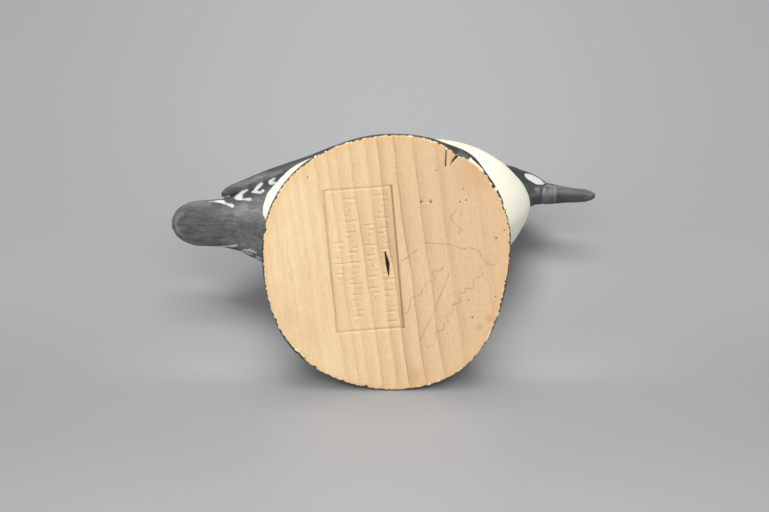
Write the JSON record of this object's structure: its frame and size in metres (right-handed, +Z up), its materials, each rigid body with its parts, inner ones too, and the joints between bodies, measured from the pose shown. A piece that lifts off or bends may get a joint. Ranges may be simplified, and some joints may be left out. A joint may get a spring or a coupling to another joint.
{
  "type": "miniature duck decoy",
  "caption": "Palm-sized carved and painted wooden goldeneye drake with its head up, sitting on a low knife-cut rock of wood with a flat bare underside.",
  "frame": {"origin": "on the underside of the rock, below the middle of the bird's length and of the rock's width", "axes": "+X towards the tip of the bill, +Y towards the bird's left side, +Z up"},
  "size_m": [0.1, 0.0602, 0.0634],
  "materials": {
    "drake_paint": "painted, satin",
    "rock_paint": "painted, matt, with a bare underside"
  },
  "bodies": {
    "root": {"goldeneye_drake": "drake_paint", "rock_base": "rock_paint"}
  },
  "joints": []
}
